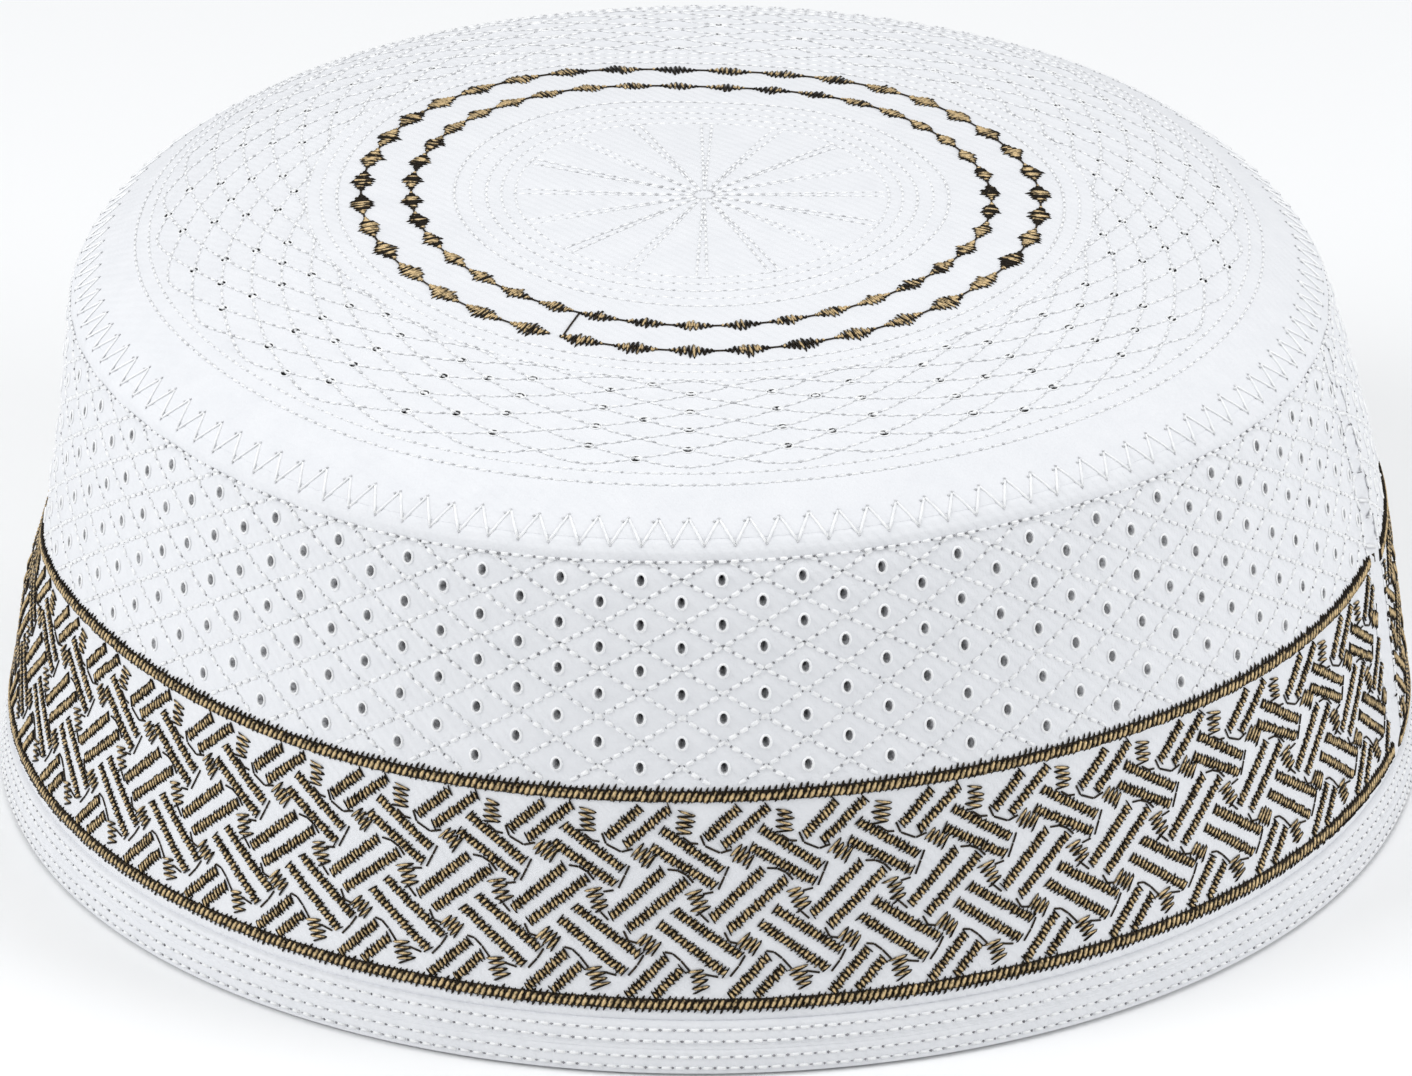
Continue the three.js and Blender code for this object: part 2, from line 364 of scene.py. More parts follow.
def shell(rings, first_angle, thickness, slant, eyelets=(), closed_middle=False, taper=1.0):
    """A closed wall of cloth, and which of its faces line an eyelet.

    Each ring is (along, points round, lift outside, lift inside), and an eyelet is (ring, point,
    half width, half height). The holes go right through the cloth, and are narrower by taper on its
    inside. slant says which way each square is split."""
    counts = [ring[1] for ring in rings]
    starts = np.r_[0, np.cumsum(counts)]
    total = int(starts[-1])
    along = np.concatenate([np.full(ring[1], ring[0], float) for ring in rings])
    angle = np.concatenate([first_angle + np.arange(n) * 360 / n for n in counts])
    out_lift = np.concatenate([np.full(ring[1], ring[2], float) for ring in rings])
    in_lift = np.concatenate([np.full(ring[1], ring[3], float) for ring in rings])
    cut = {}
    loops = []
    in_along, in_angle = {}, {}
    for i, j, half_width, half_height in eyelets:
        n = counts[i]
        here = starts[i] + j % n
        centre = (along[here], angle[here])
        round_it = [(-1, -1), (-1, 0), (-1, 1), (0, 1), (1, 1), (1, 0), (1, -1), (0, -1)]
        loop = []
        for (di, dj), way in zip(round_it, range(225, 585, 45)):
            k = starts[i + di] + (j + dj) % n
            up = half_height * math.sin(math.radians(way))
            side = half_width * math.cos(math.radians(way))
            side = math.degrees(side / max(radius_at(centre[0]), 1))
            along[k], angle[k] = centre[0] + up, centre[1] + side
            in_along[k], in_angle[k] = centre[0] + up * taper, centre[1] + side * taper
            loop.append(k)
        loops.append(loop)
        for di in (-1, 0):
            for dj in (-1, 0):
                cut.setdefault(i + di, set()).add((j + dj) % n)
    faces = []
    for i in range(len(rings) - 1):
        n = counts[i + 1]
        if n < counts[i]:
            faces.append(narrowing(n, starts[i], starts[i + 1]))
            continue
        a, b, c, d = squares(n, starts[i], starts[i + 1])
        keep = np.ones(n, bool)
        keep[list(cut.get(i, ()))] = False
        rising = slant(along[a], along[d], angle[a], 360 / n)[:, None]
        one = np.where(rising, np.stack([a, b, c], 1), np.stack([a, b, d], 1))
        two = np.where(rising, np.stack([a, c, d], 1), np.stack([b, c, d], 1))
        faces += [one[keep], two[keep]]
    top = np.concatenate(faces)
    outside = skin(along, angle, out_lift)
    along[list(in_along)] = list(in_along.values())
    angle[list(in_angle)] = list(in_angle.values())
    inside = outer(along, angle) + normal(along, angle) * (in_lift - thickness)[:, None]
    points = [outside, inside]
    every = [top, top[:, ::-1] + total]
    for loop in loops:
        loop = np.array(loop)
        after = np.roll(loop, -1)
        every.append(np.stack([after, loop, loop + total], 1))
        every.append(np.stack([after, loop + total, after + total], 1))
    lining = slice(2 * len(top), 2 * len(top) + 16 * len(loops))
    j = np.arange(counts[0])
    a, b = j, (j + 1) % counts[0]
    every += [np.stack([b, a, a + total], 1), np.stack([b, a + total, b + total], 1)]
    j = np.arange(counts[-1])
    a, b = starts[-2] + j, starts[-2] + (j + 1) % counts[-1]
    if closed_middle:
        peak = skin(middle_along - 0.3, 0.0)
        peak = np.array([0, 0, peak[2]])
        points += [peak[None], (peak - [0, 0, thickness])[None]]
        every.append(np.stack([a, b, np.full(len(a), 2 * total)], 1))
        every.append(np.stack([b + total, a + total, np.full(len(a), 2 * total + 1)], 1))
    else:
        every += [np.stack([a, b, b + total], 1), np.stack([a, b + total, a + total], 1)]
    which = np.zeros(sum(len(f) for f in every), int)
    # The faces lining the eyelets take the second material, which paints the shade inside the
    # holes.
    which[lining] = 1
    return np.concatenate(points), np.concatenate(every), which


def strip_uv(points, faces):
    """The cloth strip's own flat coordinates, in millimetres, for its weave."""
    turn = np.degrees(np.arctan2(points[:, 1], points[:, 0]))[faces]
    turn = np.where(turn - turn.min(1, keepdims=True) > 180, turn - 360, turn)
    return np.stack([turn * math.radians(1) * rim_radius, points[:, 2][faces]], -1).reshape(-1, 2)


def from_join(angle):
    """How many degrees an angle is from the lapped join."""
    return np.abs(np.mod(angle - join_angle + 180, 360) - 180)


def clear_of_join(start, end):
    """Which stitches keep off the lapped join, where the embroidery stops at the strip's ends."""
    return from_join((start[:, 1] + end[:, 1]) / 2) > join_clearance


def threads(start, end, width, height, shape, sink=0.12, lift=0.0, seat=0.36):
    """Closed stitches, each from one place on the cloth to another, sunk at both ends.

    A shape has the stations along a stitch and how full it is at each. seat is the height of a
    stitch's two sides, as a share of its own height."""
    start, end = np.asarray(start, float), np.asarray(end, float)
    t, full = np.array(shape["at"]), np.array(shape["full"])
    along = start[:, :1] * (1 - t) + end[:, :1] * t
    angle = start[:, 1:] * (1 - t) + end[:, 1:] * t
    out = normal(along, angle)
    middle = skin(along, angle)
    run = middle[:, -1] - middle[:, 0]
    run /= np.maximum(np.linalg.norm(run, axis=1, keepdims=True), 1e-9)
    side = np.cross(out, run[:, None])
    side /= np.maximum(np.linalg.norm(side, axis=-1, keepdims=True), 1e-9)
    width = np.broadcast_to(np.asarray(width, float), (len(start),))[:, None, None]
    height = np.broadcast_to(np.asarray(height, float), (len(start),))[:, None, None]
    rings = []
    for turn, share in ((0, seat), (90, 0.86), (180, seat), (270, -0.14)):
        across = math.cos(math.radians(turn)) * width / 2
        above = height * share * full[None, :, None] + lift
        rings.append((middle + side * across * full[None, :, None] + out * above)[:, 1:-1])
    body = np.stack(rings, 2).reshape(len(start), -1, 3)
    tips = middle[:, [0, -1]] + out[:, [0, -1]] * (lift - sink)
    points = np.concatenate([body, tips], 1)
    size = points.shape[1]
    last = size - 1
    pattern = []
    for k in range(4):
        n = (k + 1) % 4
        pattern.append((last - 1, n, k))
        pattern.append((last, size - 6 + k, size - 6 + n))
        for ring in range(len(t) - 3):
            low = ring * 4
            pattern += [(low + k, low + n, low + 4 + n), (low + k, low + 4 + n, low + 4 + k)]
    faces = np.array(pattern)[None] + (np.arange(len(start)) * size)[:, None, None]
    return points.reshape(-1, 3), faces.reshape(-1, 3)


def joined(parts):
    """Several meshes as one."""
    points, faces, start = [], [], 0
    for p, f in parts:
        points.append(p)
        faces.append(f + start)
        start += len(p)
    return np.concatenate(points), np.concatenate(faces)


def sewn(path, pitch, gap, hole):
    """Along a path on the cloth: the stitches' starts and ends, and the needle holes' two ends."""
    path = np.asarray(path, float)
    place = outer(path[:, 0], path[:, 1])
    length = np.r_[0, np.cumsum(np.linalg.norm(np.diff(place, axis=0), axis=1))]
    count = max(1, int(round(length[-1] / pitch)))
    step = length[-1] / count

    def at(x):
        x = np.clip(x, 0, length[-1])
        return np.stack([np.interp(x, length, path[:, 0]), np.interp(x, length, path[:, 1])], 1)

    first = np.arange(count) * step
    hole_middle = first + chance.uniform(-0.08, 0.08, count)
    half = hole / 2 * chance.uniform(0.6, 1.2, count)
    stitches = at(first + gap / 2), at(first + step - gap / 2)
    return *stitches, at(hole_middle - half), at(hole_middle + half)


def sew(paths, pitch, gap, width, height, hole=(0.5, 0.38)):
    """Stitches and needle holes along several paths, as two meshes; each hole is a grey mark of
    painted shade. hole is (length, width).
    """
    made = [sewn(path, pitch, gap, hole[0]) for path in paths]
    start, end, hole_a, hole_b = (np.concatenate([m[k] for m in made]) for k in range(4))
    width = width * chance.uniform(0.85, 1.15, len(start))
    stitches = threads(start, end, width, height, stitch_shape, seat=0.1)
    hole_width = hole[1] * chance.uniform(0.6, 1.2, len(hole_a))
    holes = threads(hole_a, hole_b, hole_width, hole_height, hole_shape, flat_sink)
    return stitches, holes


def circle(along, first=0.0):
    """A path once round the cap at one height, from the angle first."""
    angle = np.linspace(first, first + 360, 721)
    return np.stack([np.full_like(angle, along), angle], 1)


def eyelet_rims(centres, half_width, half_height, thread, around=10):
    """A ring of thread round each eyelet."""
    centres = np.asarray(centres, float)
    turn = np.arange(around) * 2 * math.pi / around
    points = []
    for ring in range(4):
        cross = ring * math.pi / 2
        reach = thread * math.cos(cross)
        along = centres[:, :1] + (half_height + reach) * np.sin(turn)
        side = (half_width + reach) * np.cos(turn)
        angle = centres[:, 1:] + np.degrees(side / radius_at(centres[:, :1]))
        points.append(skin(along, angle, thread * (0.25 + math.sin(cross))))
    points = np.stack(points, 2).reshape(len(centres), -1, 3)
    pattern = []
    for i in range(around):
        for k in range(4):
            a, b = i * 4 + k, i * 4 + (k + 1) % 4
            c, d = (i + 1) % around * 4 + (k + 1) % 4, (i + 1) % around * 4 + k
            pattern += [(a, c, b), (a, d, c)]
    faces = np.array(pattern)[None] + (np.arange(len(centres)) * around * 4)[:, None, None]
    return points.reshape(-1, 3), faces.reshape(-1, 3)


# Materials


def new_material(name, colour, roughness):
    material = bpy.data.materials.new(name)
    material.use_nodes = True
    shader = material.node_tree.nodes["Principled BSDF"]
    shader.inputs["Base Color"].default_value = (*colour, 1)
    shader.inputs["Roughness"].default_value = roughness
    return material, material.node_tree, shader


def add_node(tree, kind, **values):
    """A new node with these inputs or settings."""
    node = tree.nodes.new(kind)
    for name, value in values.items():
        if name in node.inputs:
            node.inputs[name].default_value = value
        else:
            setattr(node, name, value)
    return node


def shade_between(tree, shader, source, low, high, first, second):
    """The shader's colour, from first where source is low to second where it is high."""
    ramp = tree.nodes.new("ShaderNodeValToRGB")
    ramp.color_ramp.elements[0].position = low
    ramp.color_ramp.elements[0].color = (*first, 1)
    ramp.color_ramp.elements[1].position = high
    ramp.color_ramp.elements[1].color = (*second, 1)
    tree.links.new(source, ramp.inputs["Fac"])
    tree.links.new(ramp.outputs["Color"], shader.inputs["Base Color"])


def add_twist(tree, shader, place):
    """The fine bumps of twisted thread."""
    twist = add_node(tree, "ShaderNodeTexNoise", Scale=5200.0, Detail=2.0)
    tree.links.new(place.outputs["Object"], twist.inputs["Vector"])
    bump = add_node(tree, "ShaderNodeBump", Strength=0.5, Distance=0.00005)
    tree.links.new(twist.outputs["Fac"], bump.inputs["Height"])
    tree.links.new(bump.outputs["Normal"], shader.inputs["Normal"])


def cloth_material(name, colour, shade, strength):
    """White cotton twill: slanted ribs in the cloth's own flat coordinates, with a soft mottle."""
    material, tree, shader = new_material(name, colour, 0.82)
    shader.inputs["Sheen Weight"].default_value = 0.12
    shader.inputs["Sheen Roughness"].default_value = 0.5
    shader.inputs["Specular IOR Level"].default_value = 0.25
    flat = add_node(tree, "ShaderNodeUVMap", uv_map="cloth")
    ribs = add_node(tree, "ShaderNodeTexWave", Scale=0.36, Distortion=0.6, Detail=2.0)
    ribs.bands_direction = "DIAGONAL"
    tree.links.new(flat.outputs["UV"], ribs.inputs["Vector"])
    place = tree.nodes.new("ShaderNodeTexCoord")
    mottle = add_node(tree, "ShaderNodeTexNoise", Scale=260.0, Detail=5.0, Roughness=0.6)
    tree.links.new(place.outputs["Object"], mottle.inputs["Vector"])
    fine = add_node(tree, "ShaderNodeTexNoise", Scale=2600.0, Detail=2.0, Roughness=0.5)
    tree.links.new(place.outputs["Object"], fine.inputs["Vector"])
    shade_between(tree, shader, mottle.outputs["Fac"], 0.3, 0.7, shade, colour)
    mix = add_node(tree, "ShaderNodeMath", operation="MULTIPLY_ADD")
    mix.inputs[1].default_value = 0.55
    tree.links.new(ribs.outputs["Fac"], mix.inputs[0])
    tree.links.new(fine.outputs["Fac"], mix.inputs[2])
    bump = add_node(tree, "ShaderNodeBump", Strength=strength, Distance=0.0001)
    tree.links.new(mix.outputs["Value"], bump.inputs["Height"])
    tree.links.new(bump.outputs["Normal"], shader.inputs["Normal"])
    return material


def thread_material(name, light, dark, roughness, scale, high=0.65):
    """Twisted thread, lighter and darker from strand to strand."""
    material, tree, shader = new_material(name, light, roughness)
    shader.inputs["Specular IOR Level"].default_value = 0.25
    place = tree.nodes.new("ShaderNodeTexCoord")
    strand = add_node(tree, "ShaderNodeTexNoise", Scale=scale, Detail=3.0, Roughness=0.65)
    tree.links.new(place.outputs["Object"], strand.inputs["Vector"])
    shade_between(tree, shader, strand.outputs["Fac"], 0.35, high, dark, light)
    add_twist(tree, shader, place)
    return material


def gold_material(name, light, dark):
    """Satin thread: gold, with a painted highlight on each stroke's crest and painted shade, dark
    brown, where it turns down into the cloth and on the dark strokes.
    """
    material, tree, shader = new_material(name, light, 0.36)
    shader.inputs["Metallic"].default_value = 0.3
    shader.inputs["Specular IOR Level"].default_value = 0.2
    place = tree.nodes.new("ShaderNodeTexCoord")
    strand = add_node(tree, "ShaderNodeTexNoise", Scale=1500.0, Detail=3.0, Roughness=0.65)
    tree.links.new(place.outputs["Object"], strand.inputs["Vector"])
    painted_light = add_node(tree, "ShaderNodeAttribute", attribute_name="painted_light")
    sum_up = add_node(tree, "ShaderNodeMath", operation="MULTIPLY_ADD")
    sum_up.inputs[1].default_value = 0.5
    tree.links.new(painted_light.outputs["Fac"], sum_up.inputs[0])
    tree.links.new(strand.outputs["Fac"], sum_up.inputs[2])
    shade_between(tree, shader, sum_up.outputs["Value"], 0.67, 0.92, dark, light)
    add_twist(tree, shader, place)
    return material


white = cloth_material("white_cotton", (0.8, 0.81, 0.835), (0.76, 0.772, 0.8), 0.8)
white_thread = thread_material(
    "white_thread", (0.93, 0.935, 0.94), (0.85, 0.86, 0.875), 0.5, 900.0, 0.6
)
gold = gold_material("gold_thread", (0.7, 0.52, 0.28), (0.012, 0.008, 0.004))
# Near black: the real dark thread of the linking and joining lines, and painted shade as the base
# under the gold strokes.
dark_thread_and_shade = thread_material(
    "dark_thread_and_painted_shade", (0.035, 0.022, 0.01), (0.01, 0.007, 0.004), 0.6, 1200.0
)
# Needle holes: grey marks of painted shade inside the holes, paler on the crown.
hole_shade = thread_material(
    "needle_hole_shade", (0.42, 0.42, 0.44), (0.16, 0.16, 0.17), 0.9, 500.0
)
soft_hole_shade = thread_material(
    "crown_needle_hole", (0.72, 0.725, 0.74), (0.5, 0.505, 0.52), 0.9, 300.0
)
# The eyelets' inner walls: painted shade, mid grey on the wall and dark on the crown.
eyelet_shade = thread_material(
    "eyelet_lining_shade", (0.78, 0.785, 0.8), (0.3, 0.3, 0.31), 0.9, 1800.0
)
crown_eyelet_shade = thread_material(
    "crown_eyelet_lining", (0.2, 0.2, 0.21), (0.1, 0.1, 0.1), 0.9, 1500.0
)

# The side: one strip with the eyelet lattice over the embroidered band

points_in_column = 8
around_wall = wall_columns * points_in_column
sharp_edge = 55
wall_steps = np.arange(35, -4, -1) / 4.0
side_along = list(np.linspace(7.0, 10.2, 5)) + list(np.linspace(11.6, 35.9, 18))
lattice_start = len(side_along)
side_along += list(wall_along(wall_steps))
side_along += [66.0, 66.5, 66.9, 67.3, 67.7, 68.1, 68.8, 69.4]
side_rings = []
for height in side_along:
    tucked = 0.16 * smooth((height - 67.8) / 0.8) + 0.8 * smooth((7.8 - height) / 0.6)
    inside_lift = -0.15 * smooth((height - 67) / 1.5)
    side_rings.append((height, around_wall, -tucked, inside_lift))


def wall_slant(low, high, angle, step):
    """Each square is split along the lattice line that crosses it."""
    u = (angle + step / 2 - wall_first_angle) / (180 / wall_columns)
    v = wall_row((low + high) / 2)
    rising = np.abs(np.mod(u + v, 2) - 1)
    falling = np.abs(np.mod(u - v, 2) - 1)
    return rising > falling


wall_eyelet_width = 1.08
wall_eyelet_height = 1.48
wall_eyelets = []
wall_places = []
for row in range(wall_rows):
    ring = lattice_start + int(np.argmin(np.abs(wall_steps - row)))
    for column in range(wall_columns):
        point = column * points_in_column + (points_in_column // 2 if row % 2 else 0)
        half_width = wall_eyelet_width / 2 * chance.uniform(0.88, 1.08)
        half_height = wall_eyelet_height / 2 * chance.uniform(0.9, 1.08)
        wall_eyelets.append((ring, point, half_width, half_height))
        turn = wall_first_angle + point * 360 / around_wall
        wall_places.append((wall_along(row), turn))

points, faces, which = shell(
    side_rings, wall_first_angle, side_cloth, wall_slant, wall_eyelets, taper=0.3
)
flat = strip_uv(points, faces)
side_piece = make_piece(
    "side_panel", points, faces, [white, eyelet_shade], "side_cloth", flat, sharp_edge, which
)
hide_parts("side_wall")

# The crown: one disc with its wave of stitches, eyelets, circles and star

points_in_lobe = 12
rings_in_row = 3
around_crown = crown_lobes * points_in_lobe
crown_rings = [(crown_edge, around_crown, -0.25, 0.0), (68.5, around_crown, -0.06, 0.0)]
shoulder = [68.8, 69.4, 70.1, 70.8, 71.4] + list(np.linspace(72.0, float(along_at(71.5)), 6))
crown_rings += [(height, around_crown, 0.0, 0.0) for height in shoulder]
crown_start = len(crown_rings)
crown_steps = np.arange(-rings_in_row, 28) / rings_in_row
for radius in crown_first_row - crown_row_step * crown_steps:
    crown_rings.append((float(along_at(radius)), around_crown, 0.0, 0.0))
for radius in np.arange(49.3, 25.0, -1.25):
    crown_rings.append((float(along_at(radius)), around_crown // 2, 0.0, 0.0))
for radius in np.arange(23.4, 2.0, -1.6):
    crown_rings.append((float(along_at(radius)), around_crown // 4, 0.0, 0.0))


def crown_slant(low, high, angle, step):
    """Each square is split along the line of quilting that crosses it."""
    u = (angle + step / 2 - crown_first_angle) / (180 / crown_lobes)
    v = (crown_first_row - radius_at((low + high) / 2)) / crown_row_step
    rising = np.minimum(np.mod(u - v, 2), 2 - np.mod(u - v, 2))
    falling = np.minimum(np.mod(u + v, 2), 2 - np.mod(u + v, 2))
    return rising < falling


crown_eyelet_width = 1.36
crown_eyelet_height = 1.16
crown_eyelets = []
crown_places = []
for row in range(crown_rows):
    ring = crown_start + rings_in_row * (row + 1)
    for lobe in range(crown_lobes):
        if row % 2 == 0 and (lobe + row) % 4:
            continue
        point = lobe * points_in_lobe + (0 if row % 2 else points_in_lobe // 2)
        crown_eyelets.append((ring, point, crown_eyelet_width / 2, crown_eyelet_height / 2))
        turn = crown_first_angle + point * 360 / around_crown
        crown_places.append((float(along_at(crown_first_row - crown_row_step * row)), turn))

points, faces, which = shell(
    crown_rings, crown_first_angle, crown_cloth, crown_slant, crown_eyelets, True, taper=0.9
)
flat = points[:, :2][faces.ravel()]
crown_looks = [white, crown_eyelet_shade]
crown_piece = make_piece(
    "crown_panel", points, faces, crown_looks, "crown_cloth", flat, sharp_edge, which
)
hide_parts("crown")

# The hem: the folded strip round the rim

hem_along = [0.5, 0.3, 0.55, 0.9, 1.1, 1.4, 2.0, 2.56, 3.1, 3.35, 3.5, 3.65, 3.85, 4.05, 4.25, 4.6]
hem_along += [5.0, 5.6, 6.06, 6.5, 6.9, 7.2]
hem_rings = []
for count, height in enumerate(hem_along):
    round_low = 0.9 if count == 0 else 0.35 * smooth((1.1 - height) / 0.9)
    round_high = 0.5 * smooth((height - 6.8) / 0.4)
    hem_rings.append((height, around_wall, -round_low - round_high, 0.0))
points, faces, _ = shell(hem_rings, wall_first_angle, hem_cloth, wall_slant)
points[:, 2] = np.maximum(points[:, 2], 0.02)
flat = strip_uv(points, faces)
hem_piece = make_piece("rim_hem_strip", points, faces, white, "hem_cloth", flat, sharp_edge)
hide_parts("rim_hem")

# White stitching

wall_hole_parts = []
wall_paths = []
steps = np.linspace(-0.85, wall_rows - 0.3, 120)
for column in range(wall_columns):
    for way in (1, -1):
        u = 2 * column + 1 - way * steps
        turn = wall_first_angle + u * 180 / wall_columns
        wall_paths.append(np.stack([wall_along(steps), turn], 1))
stitches, holes = sew(wall_paths, 1.55, 0.32, 0.66, 0.4, (0.46, 0.46))
wall_hole_parts.append(holes)
lattice_piece = make_piece("wall_lattice_stitches", *stitches, white_thread, "white_thread")

stitches, holes = sew([circle(wall_top_row)], 1.5, 0.36, 0.46, 0.38)
wall_hole_parts.append(holes)
row_piece = make_piece("wall_top_stitch_row", *stitches, white_thread, "white_thread")

wave_turn = 0.35
waves = []
for first in (0, 2):
    u = np.arange(0, 10 * crown_lobes + 0.05, 0.1)
    wander = np.abs(np.mod(u + first, 20) - 10)
    wander = np.sqrt(wander**2 + wave_turn**2)
    wander = 10 - np.sqrt(np.maximum(10 - wander, 0) ** 2 + wave_turn**2)
    wave_radius = crown_first_row - crown_row_step * (wander - 1)
    turn = crown_first_angle + u * 180 / crown_lobes
    waves.append(np.stack([along_at(wave_radius), turn], 1))
stitches, holes = sew(waves, 1.7, 0.6, 0.42, 0.24, (0.8, 0.42))
crown_hole_parts = [holes]
wave_piece = make_piece("crown_wave_stitches", *stitches, white_thread, "white_thread")

round_paths = [circle(float(along_at(radius)), 7.0 * k) for k, radius in enumerate(crown_circles)]
spokes = []
for spoke in range(star_points):
    for way in (-1, 1):
        turn = star_first_angle + spoke * 360 / star_points + way * star_spread
        reach = np.linspace(1.2, star_reach, 40)
        spokes.append(np.stack([along_at(reach), np.full(40, turn)], 1))
stitches, holes = sew(round_paths + spokes, 1.6, 0.55, 0.42, 0.24, (0.75, 0.42))
crown_hole_parts.append(holes)
rings_piece = make_piece("crown_ring_and_star_stitches", *stitches, white_thread, "white_thread")

hem_paths = [circle(row, 11.0 * k) for k, row in enumerate(hem_rows)]
stitches, holes = sew(hem_paths, 1.7, 0.4, 0.5, 0.42)
wall_hole_parts.append(holes)
hem_rows_piece = make_piece("hem_stitch_rows", *stitches, white_thread, "white_thread")

step = 360 / seam_zigzags
foot_angle = -90.3 + np.arange(seam_zigzags) * step
foot = np.stack([np.full(seam_zigzags, 67.5), foot_angle], 1)
peak = np.stack([71.5 + chance.uniform(-0.2, 0.2, seam_zigzags), foot_angle + step / 2], 1)
between_peaks = np.stack([np.full(seam_zigzags, 71.0), foot_angle + 0.9], 1)
zigzag = joined(
    [
        threads(foot, peak, 0.42, 0.28, long_line_shape, seat=0.1),
        threads(peak, foot + [0, step], 0.42, 0.28, long_line_shape, seat=0.1),
    ]
)
seam_piece = make_piece("seam_zigzag", *zigzag, white_thread, "white_thread")
for at in (foot, peak, between_peaks):
    ends = (at - [0.24, 0], at + [0.24, 0])
    holes = threads(*ends, 0.4, hole_height, hole_shape, flat_sink, lift=0.02)
    crown_hole_parts.append(holes)

join_paths = []
for side in (-1.0, 0.9):
    reach = np.linspace(11, 66, 60)
    join_paths.append(np.stack([reach, np.full(60, join_angle + side)], 1))
stitches, holes = sew(join_paths, 1.8, 0.4, 0.46, 0.34)
wall_hole_parts.append(holes)
join_piece = make_piece("side_join_stitches", *stitches, white_thread, "white_thread")

rims = eyelet_rims(wall_places, wall_eyelet_width / 2 + 0.1, wall_eyelet_height / 2 + 0.12, 0.17)
wall_rims_piece = make_piece("wall_eyelet_rims", *rims, white_thread, "white_thread")
rims = eyelet_rims(
    crown_places, crown_eyelet_width / 2 + 0.06, crown_eyelet_height / 2 + 0.06, 0.12
)
crown_rims_piece = make_piece("crown_eyelet_rims", *rims, white_thread, "white_thread")
holes_piece = make_piece("needle_holes", *joined(wall_hole_parts), hole_shade)
crown_holes_piece = make_piece("crown_needle_holes", *joined(crown_hole_parts), soft_hole_shade)

# Gold embroidery on the band

band_repeats = 45
band_first_angle = -114.0
band_low = 10.0
band_high = 35.0
bar_width = 1.48
stroke_gap = 0.31
bars = [
    {"row": "a", "x0": -0.05, "y0": 0.82, "x1": 0.3, "y1": 0.98},
    {"row": "a", "x0": 0.13, "y0": 0.78, "x1": 0.6, "y1": 0.98},
    {"row": "b", "x0": 0.5, "y0": 0.87, "x1": 1.12, "y1": 0.66},
    {"row": "b", "x0": 0.4, "y0": 0.78, "x1": 1.05, "y1": 0.58},
    {"row": "c", "x0": 0.0, "y0": 0.41, "x1": 0.53, "y1": 0.66},
    {"row": "c", "x0": 0.17, "y0": 0.35, "x1": 0.77, "y1": 0.61},
    {"row": "d", "x0": 0.63, "y0": 0.46, "x1": 1.3, "y1": 0.22},
    {"row": "d", "x0": 0.48, "y0": 0.39, "x1": 1.15, "y1": 0.13},
    {"row": "e", "x0": 0.17, "y0": 0.01, "x1": 0.57, "y1": 0.22},
    {"row": "e", "x0": 0.43, "y0": 0.01, "x1": 0.72, "y1": 0.16},
]
ticks = [
    {"x": 0.75, "y": 0.9, "long": 2.7, "tall": 3.0, "lean": -6},
    {"x": 0.33, "y": 0.73, "long": 2.8, "tall": 2.6, "lean": 52},
    {"x": 0.87, "y": 0.5, "long": 2.7, "tall": 3.1, "lean": 24},
    {"x": 0.38, "y": 0.28, "long": 2.7, "tall": 2.5, "lean": 52},
    {"x": 0.88, "y": 0.1, "long": 2.7, "tall": 2.9, "lean": 20},
]
links = [
    [(-0.1, 0.84), (-0.055, 0.785), (0.1, 0.748), (0.22, 0.765)],
    [(0.72, 0.83), (0.8, 0.8), (0.88, 0.795)],
    [(1.185, 0.68), (1.14, 0.63), (1.075, 0.56)],
    [(1.03, 0.55), (0.92, 0.54)],
    [(0.565, 0.665), (0.67, 0.66), (0.76, 0.637), (0.83, 0.597)],
    [(0.87, 0.45), (0.9, 0.435), (0.98, 0.395)],
    [(0.13, 0.345), (0.18, 0.295), (0.27, 0.285)],
    [(1.335, 0.225), (1.27, 0.17), (1.18, 0.115)],
    [(1.07, 0.115), (0.93, 0.13)],
    [(0.54, 0.243), (0.62, 0.235), (0.7, 0.2), (0.79, 0.145)],
]
degrees_per_mm = math.degrees(1 / 88.5)


def band_place(x, y, repeat):
    """A place in one repeat of the band: x is from 0 to 1 along it, and y from 0 to 1 up it."""
    step = 360 / band_repeats
    return band_low + y * (band_high - band_low), band_first_angle + (repeat + x) * step


def strokes_across(low, high, width, gap, lean):
    """The satin strokes that make one bar: where each starts and ends, and whether it is dark, a
    stroke of painted shadow between the gold ones.
    """
    run = np.array([high[0] - low[0], (high[1] - low[1]) / degrees_per_mm])
    length = float(np.linalg.norm(run))
    run /= length
    across = np.array([run[1], -run[0]])
    count = 2 * max(2, int(round(length / gap / 2))) + 1
    # Every other stroke is dark: painted shadow between the gold satin strokes.
    dark = np.arange(count) % 2 == 0
    at = (np.arange(count) + 0.5) * length / count + chance.uniform(-0.06, 0.06, count)
    lean = lean + chance.uniform(-0.17, 0.17, count)
    half = width / 2 * chance.uniform(0.82, 1.15, (2, count)) * np.where(dark, 1.15, 0.9)
    first = np.array([low[0], low[1] / degrees_per_mm])
    a = first + run * (at - lean)[:, None] - across * half[0][:, None]
    b = first + run * (at + lean)[:, None] + across * half[1][:, None]
    a[:, 1] *= degrees_per_mm
    b[:, 1] *= degrees_per_mm
    return a, b, dark


